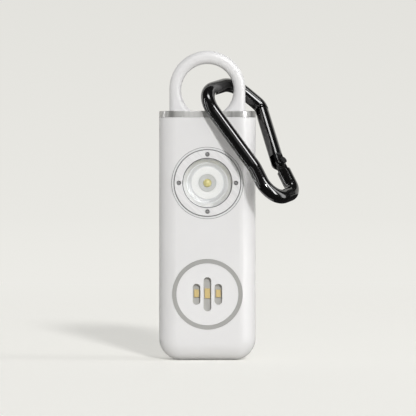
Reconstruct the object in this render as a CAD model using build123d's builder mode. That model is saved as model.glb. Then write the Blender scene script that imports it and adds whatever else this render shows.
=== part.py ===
from build123d import *
import os
from math import asin, atan2, cos, degrees, radians, sin

# Personal safety alarm: a rounded case with a light head, a siren outlet and a pull loop.
# Origin at the middle of the base, +Z up, the front faces -Y, millimetres.

# Case
case_width = 31.2
case_depth = 17.0
case_height = 78.4
case_edge_radius = 5.6
base_corner_radius = 7.0
rim_radius = 0.3
wall = 1.5
split_y = 5.0
lip_clearance = 0.1
lip_thickness = 0.8
lip_depth = 1.0
gasket_inset = 0.6
gasket_width = 0.5
gasket_thickness = 0.3
gasket_top_drop = 2.5
overrun = 1.0

# Cover screws and the pillars they go into
screw_x = 6.2
screw_low_z = 6.6
screw_top_drop = 8.6
screw_radius = 0.8
screw_length = 12.0
screw_head_radius = 1.45
screw_head_height = 0.8
screw_recess_width = 0.4
screw_recess_depth = 0.4
screw_clearance = 0.05
pillar_radius = 2.0

# Metal band and the loop's plate inside it
band_height = 2.0
band_width = 1.1
band_edge_radius = 0.2
band_skirt_depth = 1.0
band_skirt_width = 0.6
band_clearance = 0.05
plate_clearance = 0.1
plate_thickness = 1.7
plate_edge_radius = 0.25

# Pull loop
loop_inset = 2.1
loop_eye_rise = 6.9
loop_side = 3.8
loop_crown = 4.2
loop_thickness = 4.6
loop_round = 1.7

# Trip pin with its guide, seal, plunger and switch
pin_radius = 1.3
pin_grip = 1.3
pin_length = 15.6
pin_taper = 0.0375
pin_tip_chamfer = 0.3
pin_clearance = 0.05
guide_radius = 2.3
guide_length = 13.2
guide_flange_radius = 2.75
guide_flange_height = 0.8
guide_fit = 0.03
seal_section = 0.45
seal_clearance = 0.05
plunger_radius = 0.6
plunger_length = 4.4
plunger_drop = 3.2
plunger_fit = 0.05
plunger_edge = 0.2
window_clearance = 0.15
switch_length = 5.2
switch_height = 3.4
switch_gap = 0.9
switch_back_wall = 1.2
switch_front_wall = 0.9
switch_edge = 0.2

# Light head
light_height_share = 0.7296
light_seat_radius = 11.54
light_seat_depth = 0.8
light_bore_radius = 9.7
light_cup_wall = 1.1
light_ledge_width = 1.5
light_ledge_height = 0.8
trim_gap = 0.06
bezel_inner_radius = 7.96
bezel_outer_radius = 10.7
bezel_proud = 0.1
bezel_edge = 0.15
bezel_skirt_width = 0.6
bezel_skirt_depth = 2.1
bezel_fit = 0.05
spanner_circle_radius = 9.2
spanner_hole_radius = 0.74
spanner_hole_depth = 0.6
spanner_hole_count = 4
lens_clearance = 0.06
lens_recess = 0.15
lens_flange_thickness = 0.6
stack_clearance = 0.1
light_guide_gap = 0.7
reflector_mouth_radius = 7.75
reflector_step_radius = 6.6
reflector_step_width = 0.3
reflector_step_share = 0.44
reflector_floor_radius = 5.35
reflector_floor_share = 0.28
collar_radius = 5.2
collar_thickness_share = 0.16
led_base_radius = 2.8
led_dome_share = 0.54
led_clearance = 0.06
led_board_thickness = 0.8
led_lead_radius = 0.3
led_lead_pitch = 2.54
led_lead_drop = 3.4

# Siren outlet with the strobe behind its slots
siren_height_share = 0.273
siren_ring_radius = 11.3
siren_ring_width = 1.3
siren_seat_depth = 0.8
siren_clearance = 0.04
siren_bore_radius = 9.0
slot_width = 2.45
slot_pitch = 3.5
slot_middle_length = 11.0
slot_side_length = 6.75
strobe_board_radius = 8.6
strobe_board_thickness = 0.6
strobe_tab_width = 3.0
strobe_tab_reach = 9.6
strobe_chip_rise = 0.25
strobe_chip_width = 1.7
strobe_chip_height = 3.2
strobe_side_chip_width = 1.55
strobe_side_chip_height = 2.5
strobe_chip_thickness = 0.5
strobe_chip_edge = 0.12
ribbon_thickness = 0.15
ribbon_inset = 0.3
siren_cup_radius = 10.2
siren_cup_bore_radius = 8.7
siren_cup_shoulder_radius = 7.6
siren_cup_depth = 4.9
siren_cup_floor = 0.8
siren_cup_notch_clearance = 0.3
siren_post_radius = 0.9
siren_post_x = 7.4
rib_width = 0.8
rib_height = 1.5
rib_clearance = 0.05
spacer_length = 1.5
spacer_width = 0.85
sounder_thickness = 0.25
ceramic_radius = 6.0
ceramic_thickness = 0.25

# Circuit board and what is soldered to it
board_guide_gap = 0.5
board_thickness = 0.8
board_side_gap = 2.3
board_low_z = 4.2
board_top_clearance = 0.5
board_corner_radius = 2.0
board_window_clearance = 0.25
board_rail_width = 1.55
coil_radius = 2.8
coil_waist_radius = 2.2
coil_gap = 1.0
coil_flange = 0.7
coil_x = -5.4
coil_z = 12.6
capacitor_radius = 1.6
capacitor_gap = 0.9
capacitor_edge = 0.25
capacitor_x = 3.6
capacitor_pitch = 3.8
capacitor_count = 2
chip_length = 5.0
chip_width = 4.0
chip_height = 1.4
chip_rise = 2.6
chip_pin_count = 4
chip_pin_pitch = 1.27
chip_pin_width = 0.4
chip_pin_reach = 1.0
chip_pin_thickness = 0.25
transistor_length = 2.9
transistor_width = 1.5
transistor_height = 1.0
transistor_edge_gap = 4.6
transistor_drop = 6.6
small_part_length = 1.6
small_part_width = 0.8
small_part_height = 0.6
small_part_pitch = 2.4
small_part_edge_gap = 2.2
small_part_drop = 6.6
small_part_count = 4

# Button cells, their tray and contacts
cell_cap_share = 0.72
cell_cap_height = 0.35
cell_count = 3
cell_clearance = 0.1
tray_wall = 0.8
tray_floor = 0.9
tray_cup_gap = 0.7
tray_rim_gap = 1.1
contact_thickness = 0.3
contact_width_share = 1.03
contact_front_share = 0.67
tab_width = 2.4
tab_reach = 2.2
tab_clearance = 0.1
battery_spring_length = 1.6
battery_spring_wire = 0.36
battery_spring_share = 0.45
battery_spring_turns = 2.5
pad_length = 12.0
pad_width_share = 0.86
pad_thickness = 0.45
pad_clearance = 0.05

# Carabiner, drawn in its own plane: down along its spine, and out across it towards the gate
clip_wire_radius = 2.25
clip_case_gap = 0.62
clip_touch_inset = 6.26
clip_touch_drop = 0.63
clip_spine_slope = 36.1
clip_spine_lean = 11.55
clip_leg_reach = 2.18
clip_leg_gap = 1.75
clip_leg_rise = 7.1
clip_head = 8.1
clip_shoulder = 19.4
clip_nose_down = 2.8
clip_nose_out = 24.7
clip_nose_end = 1.65
clip_spine = 22.2
clip_foot = 34.8
clip_belly = 3.7
clip_heel = 10.3
clip_nose_radius = 2.8
clip_shoulder_radius = 9.0
clip_head_radius = 7.8
clip_kink_radius = 7.0
clip_belly_radius = 5.9
clip_heel_radius = 4.0
hinge_down = 23.8
hinge_out = 13.5
tongue_thickness = 1.5
tongue_radius = 1.85
tongue_neck = 3.2
nose_tongue_length = 2.2
nose_tongue_width = 2.4
gate_radius = 2.2
gate_offset = 0.9
gate_gap = 0.3
gate_slot_width = 1.8
gate_tail = 1.9
gate_tail_round = 1.5
gate_end_round = 0.3
gate_play = 0.35
rivet_radius = 0.7
rivet_head_radius = 1.15
rivet_head_height = 0.45
rivet_fit = 0.03
rivet_seat_half = 1.7
gate_flat_length = 4.4
gate_spring_radius = 0.75
gate_spring_wire = 0.26
gate_spring_length = 5.0
gate_spring_turns = 5
gate_bore_clearance = 0.07

# Places that follow from the sizes above
front_y = -case_depth / 2
back_y = case_depth / 2
inner_front_y = front_y + wall
cover_wall = wall + lip_clearance + lip_thickness
inner_back_y = back_y - cover_wall
deck_z = case_height - wall
band_top_z = case_height + band_height
plate_z = case_height + plate_clearance
board_y = guide_radius + board_guide_gap
board_back_y = board_y + board_thickness
board_top_z = deck_z - board_top_clearance
board_half_width = case_width / 2 - wall - board_side_gap
light_z = light_height_share * case_height
light_floor_y = front_y + light_seat_depth
light_cup_radius = light_bore_radius + light_cup_wall
siren_z = siren_height_share * case_height
siren_floor_y = front_y + siren_seat_depth
siren_cup_back_y = inner_front_y + siren_cup_depth
screw_high_z = case_height - screw_top_drop
pillar_places = [(x, z) for x in (-screw_x, screw_x) for z in (screw_low_z, screw_high_z)]
light_axis = Axis((0, 0, light_z), (0, 1, 0))
siren_axis = Axis((0, 0, siren_z), (0, 1, 0))

# The reflector fills the depth left between the lens and the trip pin's guide
light_mount_depth = light_seat_depth + lens_flange_thickness + led_board_thickness + light_ledge_height
reflector_depth = -guide_radius - light_guide_gap - front_y - light_mount_depth

# The cells fill the room between the two cups, and the row fills the circuit board's window
cups_low_z = siren_z + siren_cup_radius
cups_high_z = light_z - light_cup_radius
cell_z = (cups_low_z + cups_high_z) / 2
cell_radius = min(
    (cups_high_z - cups_low_z) / 2 - tray_cup_gap - tray_wall - cell_clearance,
    (inner_back_y - inner_front_y - tray_floor - cell_clearance - pad_clearance - pad_thickness) / 2,
)
cell_y = inner_front_y + tray_floor + cell_clearance + cell_radius
tray_outer_half = board_half_width - board_rail_width - board_window_clearance
tray_half = tray_outer_half - tray_wall
tray_half_height = cell_radius + cell_clearance + tray_wall
tray_rim_y = inner_back_y - tray_rim_gap
cell_thickness = (2 * (tray_half - contact_thickness) - battery_spring_length) / cell_count

os.makedirs("parts", exist_ok=True)


def facing(y, z=0):
    """The plane across the case at depth y, with X to the right and Z up. It grows to the front."""
    return Plane(origin=(0, y, z), x_dir=(1, 0, 0), z_dir=(0, -1, 0))


def slab(inset, low_z, high_z, high_radius=0):
    """The case's plan drawn in by inset, from one height to another, with its top rounded."""
    with BuildPart() as solid:
        with BuildSketch(Plane.XY.offset(low_z)):
            RectangleRounded(
                case_width - 2 * inset,
                case_depth - 2 * inset,
                case_edge_radius - inset,
            )
        extrude(amount=high_z - low_z)
        if high_radius > 0:
            fillet(solid.faces().sort_by(Axis.Z)[-1].edges(), radius=high_radius)
    return solid.part


def case_block(inset, high_z):
    """The whole case drawn in by inset: its front outline, with the sides and base rounded over."""
    middle_z = (inset + high_z) / 2
    with BuildPart() as solid:
        with BuildSketch(facing(0, middle_z)):
            Rectangle(case_width - 2 * inset, high_z - inset)
        extrude(amount=case_depth / 2 - inset, both=True)
        corners = solid.edges().filter_by(Axis.Y).group_by(Axis.Z)[0]
        fillet(corners, radius=base_corner_radius - inset)
        outlines = solid.faces().filter_by(Axis.Y).edges()
        fillet(
            outlines.filter_by(lambda edge: edge.center().Z < high_z - rim_radius),
            radius=case_edge_radius - inset,
        )
    return solid.part


def save(built, name):
    """Labels a finished piece and writes it under its own name."""
    built.part.label = name
    export_step(built.part, f"parts/{name}.step")


with BuildPart() as case_outer:
    add(case_block(0, case_height))
    fillet(case_outer.faces().sort_by(Axis.Z)[-1].edges(), radius=rim_radius)

# The gasket lies in a groove round the rim, open at the top where the band's skirt passes
with BuildPart() as cover_gasket:
    add(case_block(gasket_inset, case_height - gasket_top_drop))
    add(case_block(gasket_inset + gasket_width, case_height), mode=Mode.SUBTRACT)
    split(bisect_by=facing(split_y), keep=Keep.TOP)
    split(bisect_by=facing(split_y - gasket_thickness), keep=Keep.BOTTOM)
save(cover_gasket, "cover_gasket")

# The band stands on the rim, and its skirt goes down into a groove in the deck
skirt_inset = band_width - band_skirt_width
skirt_z = case_height - band_skirt_depth
with BuildPart() as trim_band:
    add(slab(0, case_height, band_top_z, high_radius=band_edge_radius))
    add(slab(skirt_inset, skirt_z, case_height))
    add(slab(band_width, skirt_z, band_top_z), mode=Mode.SUBTRACT)
save(trim_band, "trim_band")

with BuildPart() as band_groove:
    add(slab(skirt_inset - band_clearance, skirt_z - band_clearance, case_height))
    add(slab(band_width + band_clearance, skirt_z - band_clearance, case_height), mode=Mode.SUBTRACT)

# Front half of the case
light_back_y = light_floor_y + lens_flange_thickness + reflector_depth + led_board_thickness
skirt_end_y = light_floor_y + bezel_skirt_depth
light_stack_radius = light_bore_radius - bezel_fit - bezel_skirt_width - stack_clearance
light_well_radius = light_stack_radius + stack_clearance
rib_radius = siren_cup_radius + rib_clearance
seal_radius = guide_radius + guide_fit + seal_section
seal_seat_depth = 2 * seal_section - plate_clearance + seal_clearance
screw_tip_y = back_y - screw_length

with BuildPart() as front_housing:
    add(case_outer.part)
    add(case_block(wall, deck_z), mode=Mode.SUBTRACT)
    split(bisect_by=facing(split_y), keep=Keep.TOP)
    with BuildSketch(facing(inner_front_y, light_z)):
        Circle(light_cup_radius)
    extrude(amount=inner_front_y - light_back_y - light_ledge_height)
    with BuildSketch(facing(inner_front_y, siren_z)):
        Circle(rib_radius + rib_width)
        Circle(rib_radius, mode=Mode.SUBTRACT)
    extrude(amount=-rib_height)
    with BuildSketch(facing(inner_front_y)):
        with Locations(*pillar_places):
            Circle(pillar_radius)
    extrude(amount=inner_front_y - board_y)
    with BuildSketch(facing(front_y, light_z)):
        Circle(light_seat_radius)
    extrude(amount=-light_seat_depth, mode=Mode.SUBTRACT)
    with BuildSketch(facing(light_floor_y, light_z)):
        Circle(light_bore_radius)
    extrude(amount=-bezel_skirt_depth, mode=Mode.SUBTRACT)
    with BuildSketch(facing(skirt_end_y, light_z)):
        Circle(light_well_radius)
    extrude(amount=skirt_end_y - light_back_y, mode=Mode.SUBTRACT)
    with BuildSketch(facing(light_back_y, light_z)):
        Circle(light_well_radius - light_ledge_width)
    extrude(amount=-light_ledge_height - overrun, mode=Mode.SUBTRACT)
    with BuildSketch(facing(front_y, siren_z)):
        Circle(siren_ring_radius + siren_clearance)
    extrude(amount=-siren_seat_depth, mode=Mode.SUBTRACT)
    with BuildSketch(facing(siren_floor_y, siren_z)):
        Circle(siren_bore_radius)
    extrude(amount=siren_floor_y - inner_front_y, mode=Mode.SUBTRACT)
    with BuildSketch(facing(board_y)):
        with Locations(*pillar_places):
            Circle(screw_radius + screw_clearance)
    extrude(amount=board_y - screw_tip_y + overrun, mode=Mode.SUBTRACT)
    with BuildSketch(Plane.XY.offset(case_height)):
        Circle(guide_radius + guide_fit)
    extrude(amount=-wall, mode=Mode.SUBTRACT)
    with BuildSketch(Plane.XY.offset(case_height)):
        Circle(seal_radius + seal_section + seal_clearance)
    extrude(amount=-seal_seat_depth, mode=Mode.SUBTRACT)
    add(band_groove.part, mode=Mode.SUBTRACT)
    add(cover_gasket.part, mode=Mode.SUBTRACT)
save(front_housing, "front_housing")

# Rear cover with its lip and the pillars that clamp the circuit board
countersink = degrees(atan2(screw_head_radius - screw_radius, screw_head_height))
with BuildPart() as rear_cover:
    add(case_outer.part)
    add(case_block(cover_wall, case_height - cover_wall), mode=Mode.SUBTRACT)
    split(bisect_by=facing(split_y), keep=Keep.BOTTOM)
    add(band_groove.part, mode=Mode.SUBTRACT)

with BuildPart() as cover_lip:
    add(case_block(wall + lip_clearance, deck_z - lip_clearance))
    add(case_block(cover_wall, case_height - cover_wall), mode=Mode.SUBTRACT)
    split(bisect_by=facing(split_y), keep=Keep.TOP)
    split(bisect_by=facing(split_y - lip_depth), keep=Keep.BOTTOM)

with rear_cover:
    add(cover_lip.part)
    with BuildSketch(facing(inner_back_y)):
        with Locations(*pillar_places):
            Circle(pillar_radius)
    extrude(amount=inner_back_y - board_back_y)
    with BuildSketch(facing(back_y)):
        with Locations(*pillar_places):
            Circle(screw_radius + screw_clearance)
    extrude(amount=-case_depth / 2, mode=Mode.SUBTRACT, both=True)
    with BuildSketch(facing(back_y)):
        with Locations(*pillar_places):
            Circle(screw_head_radius + screw_clearance)
    extrude(amount=screw_head_height, taper=countersink, mode=Mode.SUBTRACT)
save(rear_cover, "rear_cover")

# Countersunk screws with a cross recess
with BuildPart() as cover_screws:
    with BuildSketch(facing(back_y)):
        with Locations(*pillar_places):
            Circle(screw_head_radius)
    extrude(amount=screw_head_height, taper=countersink)
    with BuildSketch(facing(back_y)):
        with Locations(*pillar_places):
            Circle(screw_radius)
    extrude(amount=screw_length)
    with BuildSketch(facing(back_y)):
        with Locations(*pillar_places):
            Rectangle(2 * screw_radius, screw_recess_width)
            Rectangle(screw_recess_width, 2 * screw_radius)
    extrude(amount=screw_recess_depth, mode=Mode.SUBTRACT)
save(cover_screws, "cover_screws")

# Pull loop: an arch round the eye, moulded in one with the plate that closes the case
plate_inset = band_width + plate_clearance
loop_eye_radius = case_width / 2 - plate_inset - loop_inset - loop_side
eye_z = band_top_z + loop_eye_rise
arch_z = eye_z + loop_crown - loop_side
arch_radius = loop_eye_radius + loop_side
plate_top_z = plate_z + plate_thickness
root_z = plate_z + plate_thickness / 2

with BuildPart() as pull_loop:
    with BuildSketch(facing(0)):
        with BuildLine():
            Line((-arch_radius, root_z), (-arch_radius, arch_z))
            ThreePointArc((-arch_radius, arch_z), (0, arch_z + arch_radius), (arch_radius, arch_z))
            Polyline((arch_radius, arch_z), (arch_radius, root_z), (-arch_radius, root_z))
        make_face()
        with Locations((0, eye_z)):
            Circle(loop_eye_radius, mode=Mode.SUBTRACT)
    extrude(amount=loop_thickness / 2, both=True)
    arch_sides = pull_loop.faces().sort_by(Axis.Y)
    arch_rims = arch_sides[0].edges() + arch_sides[-1].edges()
    fillet(arch_rims.filter_by(lambda rim: rim.center().Z > plate_top_z), radius=loop_round)
    add(slab(plate_inset, plate_z, plate_top_z, high_radius=plate_edge_radius))
    with BuildSketch(Plane.XY.offset(plate_z)):
        Circle(pin_radius)
    extrude(amount=pin_grip, mode=Mode.SUBTRACT)
save(pull_loop, "pull_loop")


def pin_radius_at(z):
    """The trip pin's radius at a height: it tapers evenly from the plate down."""
    return pin_radius - pin_taper * (plate_z - z)


# Trip pin, pressed into the plate
pin_tip_z = plate_z - pin_length
with BuildPart() as trip_pin:
    with BuildSketch(facing(0)):
        with BuildLine():
            Polyline(
                (0, pin_tip_z),
                (pin_radius_at(pin_tip_z) - pin_tip_chamfer, pin_tip_z),
                (pin_radius_at(pin_tip_z + pin_tip_chamfer), pin_tip_z + pin_tip_chamfer),
                (pin_radius, plate_z),
                (pin_radius, plate_z + pin_grip),
                (0, plate_z + pin_grip),
                (0, pin_tip_z),
            )
        make_face()
    revolve(axis=Axis.Z)
save(trip_pin, "trip_pin")

# Guide tube under the deck, with a window for the plunger
guide_foot_z = case_height - guide_length
plunger_z = deck_z - plunger_drop
with BuildPart() as pin_guide:
    with BuildSketch(facing(0)):
        with BuildLine():
            Polyline(
                (pin_radius_at(guide_foot_z) + pin_clearance, guide_foot_z),
                (guide_radius, guide_foot_z),
                (guide_radius, deck_z - guide_flange_height),
                (guide_flange_radius, deck_z - guide_flange_height),
                (guide_flange_radius, deck_z),
                (guide_radius, deck_z),
                (guide_radius, case_height),
                (pin_radius_at(case_height) + pin_clearance, case_height),
                (pin_radius_at(guide_foot_z) + pin_clearance, guide_foot_z),
            )
        make_face()
    revolve(axis=Axis.Z)
    with BuildSketch(Plane.YZ):
        with Locations((0, plunger_z)):
            Circle(plunger_radius + window_clearance)
    extrude(amount=guide_radius + overrun, mode=Mode.SUBTRACT)
save(pin_guide, "pin_guide")

with BuildPart() as pin_seal:
    with BuildSketch(facing(0)):
        with Locations((seal_radius, case_height - seal_seat_depth + seal_section)):
            Circle(seal_section)
    revolve(axis=Axis.Z)
save(pin_seal, "pin_seal")

# Switch on the circuit board, and the plunger that rides on the pin's taper
switch_x = guide_radius + switch_gap
switch_front_y = -plunger_radius - plunger_fit - switch_front_wall
with BuildPart() as trip_switch:
    with BuildSketch(Plane.YZ.offset(switch_x)):
        with Locations(((switch_front_y + board_y) / 2, plunger_z)):
            Rectangle(board_y - switch_front_y, switch_height)
    extrude(amount=switch_length)
    fillet(trip_switch.edges().filter_by(Axis.Y), radius=switch_edge)
    with BuildSketch(Plane.YZ.offset(switch_x)):
        with Locations((0, plunger_z)):
            Circle(plunger_radius + plunger_fit)
    extrude(amount=switch_length - switch_back_wall, mode=Mode.SUBTRACT)
save(trip_switch, "trip_switch")

plunger_x = pin_radius_at(plunger_z + plunger_radius) + pin_clearance
with BuildPart() as trip_plunger:
    with BuildSketch(Plane.YZ.offset(plunger_x)):
        with Locations((0, plunger_z)):
            Circle(plunger_radius)
    extrude(amount=plunger_length)
    fillet(trip_plunger.edges().filter_by(GeomType.CIRCLE), radius=plunger_edge)
save(trip_plunger, "trip_plunger")

# Light head, from the front ring back to its board
with BuildPart() as light_trim_ring:
    with BuildSketch(facing(front_y, light_z)):
        Circle(light_seat_radius - trim_gap)
        Circle(bezel_outer_radius + trim_gap, mode=Mode.SUBTRACT)
    extrude(amount=-light_seat_depth)
save(light_trim_ring, "light_trim_ring")

with BuildPart() as light_bezel:
    with BuildSketch(facing(front_y - bezel_proud, light_z)):
        Circle(bezel_outer_radius)
        Circle(bezel_inner_radius, mode=Mode.SUBTRACT)
    extrude(amount=-light_seat_depth - bezel_proud)
    chamfer(light_bezel.faces().sort_by(Axis.Y)[0].edges(), length=bezel_edge)
    with BuildSketch(facing(light_floor_y, light_z)):
        Circle(light_bore_radius - bezel_fit)
        Circle(light_bore_radius - bezel_fit - bezel_skirt_width, mode=Mode.SUBTRACT)
    extrude(amount=-bezel_skirt_depth)
    with BuildSketch(facing(front_y - bezel_proud, light_z)):
        with PolarLocations(spanner_circle_radius, spanner_hole_count):
            Circle(spanner_hole_radius)
    extrude(amount=-spanner_hole_depth, mode=Mode.SUBTRACT)
save(light_bezel, "light_bezel")

with BuildPart() as light_lens:
    with BuildSketch(facing(front_y + lens_recess, light_z)):
        Circle(bezel_inner_radius - lens_clearance)
    extrude(amount=lens_recess - light_seat_depth)
    with BuildSketch(facing(light_floor_y, light_z)):
        Circle(light_stack_radius)
    extrude(amount=-lens_flange_thickness)
save(light_lens, "light_lens")

reflector_y = light_floor_y + lens_flange_thickness
reflector_back_y = reflector_y + reflector_depth
reflector_floor_y = reflector_back_y - reflector_floor_share * reflector_depth
reflector_step_y = reflector_y + reflector_step_share * reflector_depth
with BuildPart() as light_reflector:
    with BuildSketch(Plane.XY.offset(light_z)):
        with BuildLine():
            Polyline(
                (light_stack_radius, reflector_y),
                (reflector_mouth_radius, reflector_y),
                (reflector_step_radius, reflector_step_y),
                (reflector_step_radius - reflector_step_width, reflector_step_y),
                (reflector_floor_radius, reflector_floor_y),
                (led_base_radius + led_clearance, reflector_floor_y),
                (led_base_radius + led_clearance, reflector_back_y),
                (light_stack_radius, reflector_back_y),
                (light_stack_radius, reflector_y),
            )
        make_face()
    revolve(axis=light_axis)
save(light_reflector, "light_reflector")

collar_thickness = collar_thickness_share * reflector_depth
with BuildPart() as led_collar:
    with BuildSketch(facing(reflector_floor_y, light_z)):
        Circle(collar_radius)
        Circle(led_base_radius + led_clearance, mode=Mode.SUBTRACT)
    extrude(amount=collar_thickness)
save(led_collar, "led_collar")

led_face_y = reflector_floor_y - collar_thickness
with BuildPart() as led_base:
    with BuildSketch(facing(reflector_back_y, light_z)):
        Circle(led_base_radius)
    extrude(amount=reflector_back_y - led_face_y)
save(led_base, "led_base")

led_dome_radius = led_dome_share * reflector_depth
with BuildPart() as led_dome:
    with BuildSketch(Plane.XY.offset(light_z)):
        with BuildLine():
            Line((0, led_face_y), (led_dome_radius, led_face_y))
            JernArc((led_dome_radius, led_face_y), (0, -1), led_dome_radius, -90)
            Line((0, led_face_y - led_dome_radius), (0, led_face_y))
        make_face()
    revolve(axis=light_axis)
save(led_dome, "led_dome")

with BuildPart() as led_board:
    with BuildSketch(facing(reflector_back_y, light_z)):
        Circle(light_stack_radius)
    extrude(amount=-led_board_thickness)
save(led_board, "led_board")

with BuildPart() as led_leads:
    with BuildSketch(facing(light_back_y, light_z - led_lead_drop)):
        with GridLocations(led_lead_pitch, 0, 2, 1):
            Circle(led_lead_radius)
    extrude(amount=light_back_y - board_y)
save(led_leads, "led_leads")

# Siren outlet
ring_hole_radius = siren_ring_radius - siren_ring_width
with BuildPart() as siren_ring:
    with BuildSketch(facing(front_y, siren_z)):
        Circle(siren_ring_radius)
        Circle(ring_hole_radius, mode=Mode.SUBTRACT)
    extrude(amount=-siren_seat_depth)
save(siren_ring, "siren_ring")

with BuildPart() as siren_grille:
    with BuildSketch(facing(front_y, siren_z)):
        Circle(ring_hole_radius - siren_clearance)
    extrude(amount=-siren_seat_depth)
    with BuildSketch(facing(siren_floor_y, siren_z)):
        Circle(siren_bore_radius - siren_clearance)
    extrude(amount=siren_floor_y - inner_front_y)
    with BuildSketch(facing(front_y, siren_z)):
        SlotOverall(slot_middle_length, slot_width, rotation=90)
        with GridLocations(2 * slot_pitch, 0, 2, 1):
            SlotOverall(slot_side_length, slot_width, rotation=90)
    extrude(amount=-wall, mode=Mode.SUBTRACT)
save(siren_grille, "siren_grille")

# Strobe board, its three chips and the ribbon back to the circuit board
strobe_back_y = inner_front_y + strobe_board_thickness
with BuildPart() as strobe_board:
    with BuildSketch(facing(inner_front_y, siren_z)):
        Circle(strobe_board_radius)
        with Locations((0, -strobe_tab_reach / 2)):
            Rectangle(strobe_tab_width, strobe_tab_reach)
    extrude(amount=-strobe_board_thickness)
    add(case_block(wall, deck_z), mode=Mode.INTERSECT)
save(strobe_board, "strobe_board")

with BuildPart() as strobe_chips:
    with BuildSketch(facing(inner_front_y, siren_z + strobe_chip_rise)):
        Rectangle(strobe_chip_width, strobe_chip_height)
        with GridLocations(2 * slot_pitch, 0, 2, 1):
            Rectangle(strobe_side_chip_width, strobe_side_chip_height)
    extrude(amount=strobe_chip_thickness)
    chamfer(strobe_chips.faces().filter_by(Axis.Y).group_by(Axis.Y)[0].edges(), length=strobe_chip_edge)
save(strobe_chips, "strobe_chips")

ribbon_z = siren_z - strobe_tab_reach + ribbon_inset
with BuildPart() as strobe_ribbon:
    with BuildSketch(facing(strobe_back_y, ribbon_z)):
        Rectangle(strobe_tab_width, ribbon_thickness)
    extrude(amount=strobe_back_y - board_y)
save(strobe_ribbon, "strobe_ribbon")

# Siren cup with the sounding disc clamped between its shoulder and a spacer
sounder_y = strobe_back_y + spacer_length
shoulder_y = sounder_y + sounder_thickness
with BuildPart() as siren_cup:
    with BuildSketch(Plane.XY.offset(siren_z)):
        with BuildLine():
            Polyline(
                (siren_cup_radius, inner_front_y),
                (siren_cup_bore_radius, inner_front_y),
                (siren_cup_bore_radius, shoulder_y),
                (siren_cup_shoulder_radius, shoulder_y),
                (siren_cup_shoulder_radius, siren_cup_back_y - siren_cup_floor),
                (0, siren_cup_back_y - siren_cup_floor),
                (0, siren_cup_back_y),
                (siren_cup_radius, siren_cup_back_y),
                (siren_cup_radius, inner_front_y),
            )
        make_face()
    revolve(axis=siren_axis)
    add(case_block(wall, deck_z), mode=Mode.INTERSECT)
    with BuildSketch(facing(siren_cup_back_y, siren_z)):
        with GridLocations(2 * siren_post_x, 0, 2, 1):
            Circle(siren_post_radius)
    extrude(amount=siren_cup_back_y - board_y)
    with BuildSketch(facing(inner_front_y, siren_z - siren_cup_radius)):
        Rectangle(
            strobe_tab_width + 2 * siren_cup_notch_clearance,
            2 * (siren_cup_radius - siren_cup_bore_radius + siren_cup_notch_clearance),
        )
    extrude(amount=-siren_cup_depth, mode=Mode.SUBTRACT)
save(siren_cup, "siren_cup")

with BuildPart() as sounder_spacer:
    with BuildSketch(facing(strobe_back_y, siren_z)):
        Circle(strobe_board_radius)
        Circle(strobe_board_radius - spacer_width, mode=Mode.SUBTRACT)
    extrude(amount=-spacer_length)
save(sounder_spacer, "sounder_spacer")

with BuildPart() as sounder_disc:
    with BuildSketch(facing(sounder_y, siren_z)):
        Circle(strobe_board_radius)
    extrude(amount=-sounder_thickness)
save(sounder_disc, "sounder_disc")

with BuildPart() as sounder_ceramic:
    with BuildSketch(facing(shoulder_y, siren_z)):
        Circle(ceramic_radius)
    extrude(amount=-ceramic_thickness)
save(sounder_ceramic, "sounder_ceramic")

# Button cells in a row, with the tray, contacts, spring and pad that hold them
cell_cap_radius = cell_cap_share * cell_radius
first_cell_x = -tray_half + contact_thickness + battery_spring_length

with BuildPart() as battery_cells:
    for index in range(cell_count):
        cell_x = first_cell_x + index * cell_thickness
        with BuildSketch(Plane.YZ.offset(cell_x)):
            with Locations((cell_y, cell_z)):
                Circle(cell_cap_radius)
        extrude(amount=cell_cap_height)
        with BuildSketch(Plane.YZ.offset(cell_x + cell_cap_height)):
            with Locations((cell_y, cell_z)):
                Circle(cell_radius)
        extrude(amount=cell_thickness - cell_cap_height)
save(battery_cells, "battery_cells")

with BuildPart() as battery_tray:
    with BuildSketch(facing(inner_front_y, cell_z)):
        Rectangle(2 * tray_outer_half, 2 * tray_half_height)
    extrude(amount=inner_front_y - tray_rim_y)
    add(case_block(wall, deck_z), mode=Mode.INTERSECT)
    with BuildSketch(Plane.YZ.offset(-tray_half)):
        with Locations((cell_y, cell_z)):
            Circle(cell_radius + cell_clearance)
        with Locations((cell_y + case_depth / 2, cell_z)):
            Rectangle(case_depth, 2 * (cell_radius + cell_clearance))
    extrude(amount=2 * tray_half, mode=Mode.SUBTRACT)
    with BuildSketch(facing(board_back_y - tab_clearance, cell_z)):
        Rectangle(2 * tray_outer_half, tab_width + 2 * tab_clearance)
    extrude(amount=-case_depth, mode=Mode.SUBTRACT)
save(battery_tray, "battery_tray")

# Each contact stands against an end wall, and its tab is soldered to the back of the board
contact_width = contact_width_share * cell_radius
contact_front_y = cell_y - contact_front_share * cell_radius
contact_back_y = board_back_y + contact_thickness
with BuildPart() as positive_contact:
    with BuildSketch(Plane.YZ.offset(tray_half - contact_thickness)):
        with Locations(((contact_front_y + contact_back_y) / 2, cell_z)):
            Rectangle(contact_back_y - contact_front_y, contact_width)
    extrude(amount=contact_thickness)
    with BuildSketch(facing(board_back_y, cell_z)):
        with Locations((tray_half - contact_thickness + tab_reach / 2, 0)):
            Rectangle(tab_reach, tab_width)
    extrude(amount=-contact_thickness)
save(positive_contact, "positive_contact")

with BuildPart() as negative_contact:
    add(mirror(positive_contact.part, about=Plane.YZ))
save(negative_contact, "negative_contact")

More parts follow.
